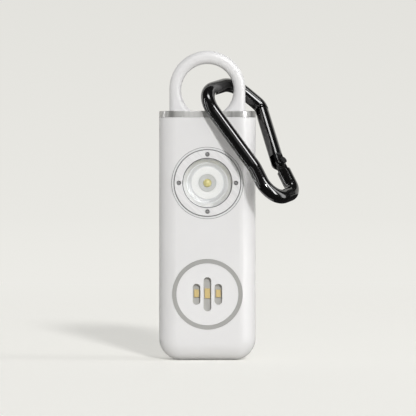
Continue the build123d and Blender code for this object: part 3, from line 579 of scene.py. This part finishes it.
def board_material() -> bpy.types.Material:
    """Green solder mask over copper runs.

    Returns:
        The board's material.
    """
    made = bpy.data.materials.new("board_green_finish")
    made.use_nodes = True
    graph = Graph(made.node_tree)
    place = graph.node("TexCoord").outputs["Object"]
    laid = graph.node("Mapping", {"Vector": place, "Rotation": (math.radians(90), 0.0, 0.0)})
    runs = graph.node("TexBrick", {"Vector": laid.outputs[0], "Scale": 220.0, "Mortar Size": 0.012})
    runs.offset = 0.35
    skin = graph.node("Group", node_tree=moulded_skin())
    graph.tree.links.new(place, skin.inputs["Vector"])
    skin.inputs["Grain"].default_value = 5000.0
    copper = graph.math("MULTIPLY", runs.outputs["Fac"], 0.75)
    colour = graph.mix(copper, srgb(22, 98, 58), srgb(58, 142, 84))
    colour = graph.mix(graph.math("MULTIPLY", skin.outputs["Patch"], 0.2), colour, srgb(14, 80, 46))
    relief = graph.math("ADD", runs.outputs["Fac"], graph.math("MULTIPLY", skin.outputs["Height"], 0.1))
    bump = graph.node("Bump", {"Height": relief, "Strength": 0.4, "Distance": 0.00003})
    rough = graph.band(skin.outputs["Patch"], 0.0, 1.0, (0.28, 0.36))
    shader = graph.node(
        "BsdfPrincipled", {"Base Color": colour, "Roughness": rough, "Normal": bump.outputs[0]}
    )
    shader.inputs["Coat Weight"].default_value = 0.3
    graph.node("OutputMaterial", {"Surface": shader.outputs[0]})
    return made


@dataclass
class Assembly:
    """A group of pieces that belong together."""

    nodes: dict[str, bpy.types.Object]
    finishes: dict[str, Finish] = field(default_factory=dict)

    def dress(self) -> None:
        """Gives each carried-over node its finish."""
        for name, finish in self.finishes.items():
            piece = self.nodes[name]
            piece.data.materials.clear()
            piece.data.materials.append(finish.material())
            log.info("dressed %s with %s", name, finish.name)

    def keep(
        self, mesh: bmesh.types.BMesh, name: str, body: str, slot: str, finish: Finish
    ) -> bpy.types.Object:
        """Turns a finished bmesh into a piece that rides on a body.

        Args:
            mesh: The shape, in metres, in its place.
            name: The piece's name.
            body: The body it moves with.
            slot: The record's slot its finish comes from; not used.
            finish: Its finish.

        Returns:
            The new object.
        """
        bmesh.ops.recalc_face_normals(mesh, faces=mesh.faces)
        data = bpy.data.meshes.new(name)
        mesh.to_mesh(data)
        mesh.free()
        data.materials.append(finish.material())
        data.shade_smooth()
        made = bpy.data.objects.new(name, data)
        bpy.context.scene.collection.objects.link(made)
        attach(made, body)
        log.info("built %s with %d faces", name, len(data.polygons))
        return made

    def build(self) -> None:
        """Adds the pieces that the solids leave out."""


@dataclass
class Case(Assembly):
    """Both halves of the case with the gasket, the screws and the metal band."""

    finishes: dict[str, Finish] = field(
        default_factory=lambda: {
            "front_housing": CASE,
            "rear_cover": CASE,
            "cover_gasket": RUBBER,
            "cover_screws": STEEL,
            "trim_band": BAND_BRUSHING_AND_REFLECTIONS,
        }
    )


@dataclass
class Trigger(Assembly):
    """The pull loop, the pin it draws and the switch that the pin holds off."""

    finishes: dict[str, Finish] = field(
        default_factory=lambda: {
            "pull_loop": LOOP,
            "trip_pin": STEEL,
            "pin_guide": BRASS,
            "pin_seal": RUBBER,
            "trip_switch": SWITCH,
            "trip_plunger": PLUNGER,
        }
    )


@dataclass
class LightHead(Assembly):
    """The light behind its screwed ring."""

    # Thin dark rings of painted shade over the gaps between the rings: their height, their drop onto the
    # seat, and their names, radii and widths in millimetres.
    gap_shade_height: float = 0.04
    seat_drop: float = 0.1
    gap_shades: tuple[tuple[str, float, float], ...] = (
        ("bezel_gap_shade", 10.73, 0.26),
        ("lens_gap_shade", 7.93, 0.22),
        ("seat_gap_shade", 11.51, 0.12),
    )
    # Dark discs of painted shade in the spanner holes: their circle, radius, depth, count and thickness.
    hole_circle: float = 9.2
    hole_radius: float = 0.71
    hole_depth: float = 0.5
    hole_count: int = 4
    floor_thickness: float = 0.06
    wire_sides: int = 8
    ring_steps: int = 160
    disc_sides: int = 24
    finishes: dict[str, Finish] = field(
        default_factory=lambda: {
            "light_trim_ring": TRIM_RING,
            "light_bezel": BEZEL,
            "light_lens": LENS,
            "light_reflector": REFLECTOR,
            "led_collar": COLLAR,
            "led_base": LED_BASE,
            "led_dome": LED_DOME,
            "led_board": LED_BOARD,
            "led_leads": TIN,
        }
    )

    def build(self) -> None:
        """Adds dark rings and discs as painted shade in the gaps between the rings and in the spanner holes.
        """
        low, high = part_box("light_bezel")
        axis_x, axis_z = (low.x + high.x) / 2, (low.z + high.z) / 2
        # Painted shade: each thin dark ring lies over a gap where the rings meet, in place of the shade in
        # that gap.
        for name, radius, width in self.gap_shades:
            on_bezel = radius * MM < (high.x - low.x) / 2 + width * MM
            front = low.y if on_bezel else low.y + self.seat_drop * MM
            ring = bmesh.new()
            centre = (axis_x + radius * MM, front, axis_z)
            section = Matrix.Diagonal((width * MM / 2, self.gap_shade_height * MM, 1.0, 1.0))
            flat = Matrix.Translation(centre) @ section
            hoop = bmesh.ops.create_circle(ring, segments=self.wire_sides, radius=1.0, matrix=flat)
            rim = list({edge for vert in hoop["verts"] for edge in vert.link_edges})
            bmesh.ops.spin(
                ring, geom=rim, cent=(axis_x, 0.0, axis_z), axis=(0.0, 1.0, 0.0),
                angle=math.tau, steps=self.ring_steps, use_merge=True,
            )
            bmesh.ops.remove_doubles(ring, verts=ring.verts, dist=1e-7)
            self.keep(ring, name, "housing", "gasket_rubber", GAP_SHADE)
        # Painted shade: a dark disc sits in each spanner hole in place of the shade inside it.
        hole_shades = bmesh.new()
        for index in range(self.hole_count):
            turn = math.tau * index / self.hole_count
            place = Vector((axis_x + self.hole_circle * MM * math.cos(turn), low.y + self.hole_depth * MM,
                            axis_z + self.hole_circle * MM * math.sin(turn)))
            lying = Matrix.Translation(place) @ Matrix.Rotation(math.radians(90), 4, "X")
            disc = bmesh.ops.create_circle(
                hole_shades, cap_ends=True, segments=self.disc_sides, radius=self.hole_radius * MM, matrix=lying
            )
            faces = list({face for vert in disc["verts"] for face in vert.link_faces})
            grown = bmesh.ops.extrude_face_region(hole_shades, geom=faces)
            moved = [part for part in grown["geom"] if isinstance(part, bmesh.types.BMVert)]
            bmesh.ops.translate(hole_shades, verts=moved, vec=(0.0, self.floor_thickness * MM, 0.0))
        self.keep(hole_shades, "spanner_hole_shades", "housing", "bezel_metal", HOLE_SHADE)


@dataclass
class SirenOutlet(Assembly):
    """The slotted outlet, the strobe behind it and the sounder in its cup."""

    finishes: dict[str, Finish] = field(
        default_factory=lambda: {
            "siren_ring": RING,
            "siren_grille": GRILLE,
            "strobe_board": MASK,
            "strobe_chips": PHOSPHOR,
            "strobe_ribbon": FILM,
            "siren_cup": CUP,
            "sounder_spacer": RUBBER,
            "sounder_disc": BRASS,
            "sounder_ceramic": SOUNDER,
        }
    )


@dataclass
class CircuitBoard(Assembly):
    """The circuit board with what is soldered to it."""

    finishes: dict[str, Finish] = field(
        default_factory=lambda: {
            "boost_coil": FERRITE,
            "capacitors": CAN,
            "control_chip": EPOXY,
            "driver_transistor": EPOXY,
            "small_components": CERAMIC,
        }
    )
    wire_radius: float = 0.17
    winding_radius: float = 2.36
    winding_turns: int = 7
    flange: float = 0.7
    wire_sides: int = 8
    turn_steps: int = 40

    def build(self) -> None:
        """Gives the board its own material and winds the coil."""
        board = self.nodes["circuit_board"]
        board.data.materials.clear()
        board.data.materials.append(board_material())
        low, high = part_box("boost_coil")
        middle = (low + high) / 2
        wound = bmesh.new()
        room = (high.y - low.y) - 2 * (self.flange + self.wire_radius) * MM
        for turn in range(self.winding_turns):
            depth = middle.y - room / 2 + room * turn / (self.winding_turns - 1)
            hoop = bmesh.ops.create_circle(
                wound,
                segments=self.wire_sides,
                radius=self.wire_radius * MM,
                matrix=Matrix.Translation((middle.x + self.winding_radius * MM, depth, middle.z)),
            )
            rim = list({edge for vert in hoop["verts"] for edge in vert.link_edges})
            bmesh.ops.spin(
                wound,
                geom=rim,
                cent=(middle.x, depth, middle.z),
                axis=(0.0, 1.0, 0.0),
                angle=math.tau,
                steps=self.turn_steps,
                use_merge=True,
            )
        bmesh.ops.remove_doubles(wound, verts=wound.verts, dist=1e-7)
        self.keep(wound, "coil_winding", "housing", "coil_ferrite", COPPER)


@dataclass
class Batteries(Assembly):
    """The button cells with their tray, contacts, spring and pad."""

    finishes: dict[str, Finish] = field(
        default_factory=lambda: {
            "battery_tray": TRAY,
            "battery_cells": STEEL,
            "battery_spring": SPRING_STEEL,
            "positive_contact": STEEL,
            "negative_contact": STEEL,
            "battery_pad": FOAM,
        }
    )


@dataclass
class Carabiner(Assembly):
    """The carabiner with its sprung gate."""

    finishes: dict[str, Finish] = field(
        default_factory=lambda: {
            "carabiner_body": CARABINER,
            "carabiner_gate": CARABINER,
            "gate_rivet": RIVET,
            "gate_spring": SPRING_STEEL,
        }
    )


@dataclass(frozen=True)
class Box:
    """A soft box: its size and distance in metres, its power in watts, its place in degrees."""

    name: str
    width: float
    height: float
    power: float
    turn: float
    rise: float
    reach: float = 0.9
    shine_only: bool = False


@dataclass
class Studio:
    """The floor, the backdrop, the lamps, the world and the camera."""

    eye_height: float = 0.062
    distance: float = 0.9
    pixel: float = 0.3215 * MM
    frame: int = 416
    front: float = -0.0085
    base_row: float = 360.9
    middle_column: float = 207.4
    backdrop_y: float = 2.6
    lamp_turn: float = 13.8
    lamp_rise: float = 23.8
    sun_power: float = 1.75
    sun_angle: float = 6.0
    sky_strength: tuple[float, float] = (0.07, 0.48)
    sky_in_reflections: float = 0.04
    floor_lift: float = 0.20
    floor_fade: tuple[float, float] = (0.22, 0.60)
    backdrop_fade: float = 0.30
    boxes: tuple[Box, ...] = (
        Box("right_box", 0.30, 1.00, 2.7, 80.0, 12.0),
        Box("left_box", 0.10, 0.80, 0.45, -60.0, 14.0),
        Box("right_shine", 0.24, 1.10, 8.5, 46.0, 24.0, shine_only=True),
        Box("left_shine", 0.05, 1.20, 1.6, -88.0, 4.0, shine_only=True),
        Box("top_shine", 0.30, 0.16, 1.2, 8.0, 78.0, shine_only=True),
    )

    def build(self) -> None:
        """Sets the whole studio."""
        self._world()
        self._floor()
        self._backdrop()
        self._lamps()
        self._camera()
        bpy.context.scene.view_settings.view_transform = "Standard"

    def _camera(self) -> None:
        """Places the camera level, at the height and distance that the photograph shows."""
        data = bpy.data.cameras.new("camera")
        camera = bpy.data.objects.new("camera", data)
        bpy.context.scene.collection.objects.link(camera)
        across = self.frame * self.pixel
        data.sensor_width = 36.0
        data.lens = data.sensor_width * self.distance / across
        centre_z = (self.base_row - self.frame / 2) * self.pixel
        data.shift_y = (centre_z - self.eye_height) / across
        data.shift_x = (self.frame / 2 - self.middle_column) / self.frame
        data.clip_start = 0.01
        data.clip_end = 20.0
        camera.location = (0.0, self.front - self.distance, self.eye_height)
        camera.rotation_euler = (math.radians(90), 0.0, 0.0)
        bpy.context.scene.camera = camera

    def _world(self) -> None:
        """A sky that brightens from the horizon up, and is dim in reflections."""
        world = bpy.data.worlds.new("studio")
        world.use_nodes = True
        bpy.context.scene.world = world
        graph = Graph(world.node_tree)
        place = graph.node("TexCoord").outputs["Generated"]
        height = graph.node("SeparateXYZ", {0: place}).outputs["Z"]
        strength = graph.band(height, 0.0, 1.0, self.sky_strength)
        light = graph.node("Background", {"Color": (0.985, 0.99, 1.0, 1.0), "Strength": strength})
        dark = graph.node(
            "Background", {"Color": (1.0, 0.995, 0.98, 1.0), "Strength": self.sky_in_reflections}
        )
        path = graph.node("LightPath")
        joined = graph.node(
            "MixShader", {0: path.outputs["Is Glossy Ray"], 1: light.outputs[0], 2: dark.outputs[0]}
        )
        graph.node("OutputWorld", {"Surface": joined.outputs[0]})

    def _sheet(self, name: str, corners: Sequence[Vector]) -> bpy.types.Object:
        """Adds a flat four-cornered sheet that isn't part of the object.

        Args:
            name: The sheet's name.
            corners: Two opposite corners of the sheet.

        Returns:
            The new object.
        """
        low, high = corners
        middle, span = (low + high) / 2, high - low
        mesh = bmesh.new()
        upright = Matrix.Rotation(math.radians(90), 4, "X") if span.z > span.y else Matrix.Identity(4)
        size = Vector((span.x, span.z if span.z > span.y else span.y, 1.0)) / 2
        placed = Matrix.Translation(middle) @ upright @ Matrix.Diagonal((*size, 1.0))
        bmesh.ops.create_grid(mesh, x_segments=2, y_segments=2, size=1.0, matrix=placed)
        data = bpy.data.meshes.new(name)
        mesh.to_mesh(data)
        mesh.free()
        made = bpy.data.objects.new(name, data)
        bpy.context.scene.collection.objects.link(made)
        return made

    def _floor(self) -> None:
        """A pale floor that takes the object's shadow near it and fades to even paper further off."""
        floor = self._sheet("floor", (Vector((-6.0, -4.0, 0.0)), Vector((6.0, self.backdrop_y, 0.0))))
        material = bpy.data.materials.new("floor_pale")
        material.use_nodes = True
        graph = Graph(material.node_tree)
        place = graph.node("TexCoord").outputs["Object"]
        slow = graph.node("TexNoise", {"Vector": place, "Scale": 3.0, "Detail": 1.0})
        colour = graph.mix(slow.outputs[0], *FLOOR_TONES)
        shader = graph.node("BsdfPrincipled", {"Base Color": colour, "Roughness": 0.75})
        shader.inputs["Specular IOR Level"].default_value = 0.2
        far = graph.node("VectorMath", {0: place}, operation="LENGTH").outputs["Value"]
        depth = graph.node("SeparateXYZ", {0: place}).outputs["Y"]
        paper = graph.mix(graph.band(depth, 0.0, self.backdrop_y), *FLOOR_PAPER)
        even = graph.node("Emission", {"Color": paper, "Strength": 1.0})
        seen = graph.node("LightPath").outputs["Is Camera Ray"]
        shader.inputs["Emission Color"].default_value = (1.0, 0.99, 0.95, 1.0)
        lift = graph.math("MULTIPLY", seen, self.floor_lift)
        graph.tree.links.new(lift, shader.inputs["Emission Strength"])
        share = graph.math("MULTIPLY", graph.band(far, *self.floor_fade), seen)
        surface = graph.node("MixShader", {0: share, 1: shader.outputs[0], 2: even.outputs[0]})
        graph.node("OutputMaterial", {"Surface": surface.outputs[0]})
        floor.data.materials.append(material)
        floor.visible_glossy = False

    def _backdrop(self) -> None:
        """A pale paper backdrop, a little darker towards its top."""
        low = Vector((-6.0, self.backdrop_y, -0.2))
        backdrop = self._sheet("backdrop", (low, Vector((6.0, self.backdrop_y, 3.0))))
        material = bpy.data.materials.new("backdrop_pale")
        material.use_nodes = True
        graph = Graph(material.node_tree)
        place = graph.node("TexCoord").outputs["Object"]
        height = graph.node("SeparateXYZ", {0: place}).outputs["Z"]
        paper = graph.mix(graph.band(height, 0.0, self.backdrop_fade), *BACKDROP_PAPER)
        even = graph.node("Emission", {"Color": paper, "Strength": 1.0})
        graph.node("OutputMaterial", {"Surface": even.outputs[0]})
        backdrop.data.materials.append(material)

    def _lamps(self) -> None:
        """A low key from the front right, and boxes round the object for its reflections."""
        sun = bpy.data.lights.new("key", "SUN")
        sun.energy = self.sun_power
        sun.angle = math.radians(self.sun_angle)
        self._aim(sun, azimuth=self.lamp_turn, elevation=self.lamp_rise, reach=1.0)
        for box in self.boxes:
            lamp = bpy.data.lights.new(box.name, "AREA")
            lamp.shape = "RECTANGLE"
            lamp.size = box.width
            lamp.size_y = box.height
            lamp.energy = box.power
            hung = self._aim(lamp, azimuth=box.turn, elevation=box.rise, reach=box.reach)
            hung.visible_diffuse = not box.shine_only

    def _aim(
        self, lamp: bpy.types.Light, azimuth: float, elevation: float, reach: float
    ) -> bpy.types.Object:
        """Hangs a lamp and points it at the middle of the object.

        Args:
            lamp: The lamp's data.
            azimuth: Degrees to the right of the camera's side.
            elevation: Degrees above the floor.
            reach: Distance from the object, in metres.

        Returns:
            The lamp's object.
        """
        turn, rise = math.radians(azimuth), math.radians(elevation)
        away = Vector((math.sin(turn) * math.cos(rise), -math.cos(turn) * math.cos(rise), math.sin(rise)))
        made = bpy.data.objects.new(lamp.name, lamp)
        bpy.context.scene.collection.objects.link(made)
        made.location = Vector((0.0, 0.0, 0.05)) + away * reach
        made.rotation_mode = "QUATERNION"
        made.rotation_quaternion = (-away).to_track_quat("-Z", "Y")
        return made


def main() -> None:
    """Dresses and builds every sub-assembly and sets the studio."""
    logging.basicConfig(level=logging.INFO, format="%(name)s: %(message)s")
    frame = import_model()
    nodes = frame["nodes"]
    for kind in (Case, Trigger, LightHead, SirenOutlet, CircuitBoard, Batteries, Carabiner):
        group = kind(nodes)
        group.dress()
        group.build()
    Studio().build()


if __name__ == "__main__":
    main()
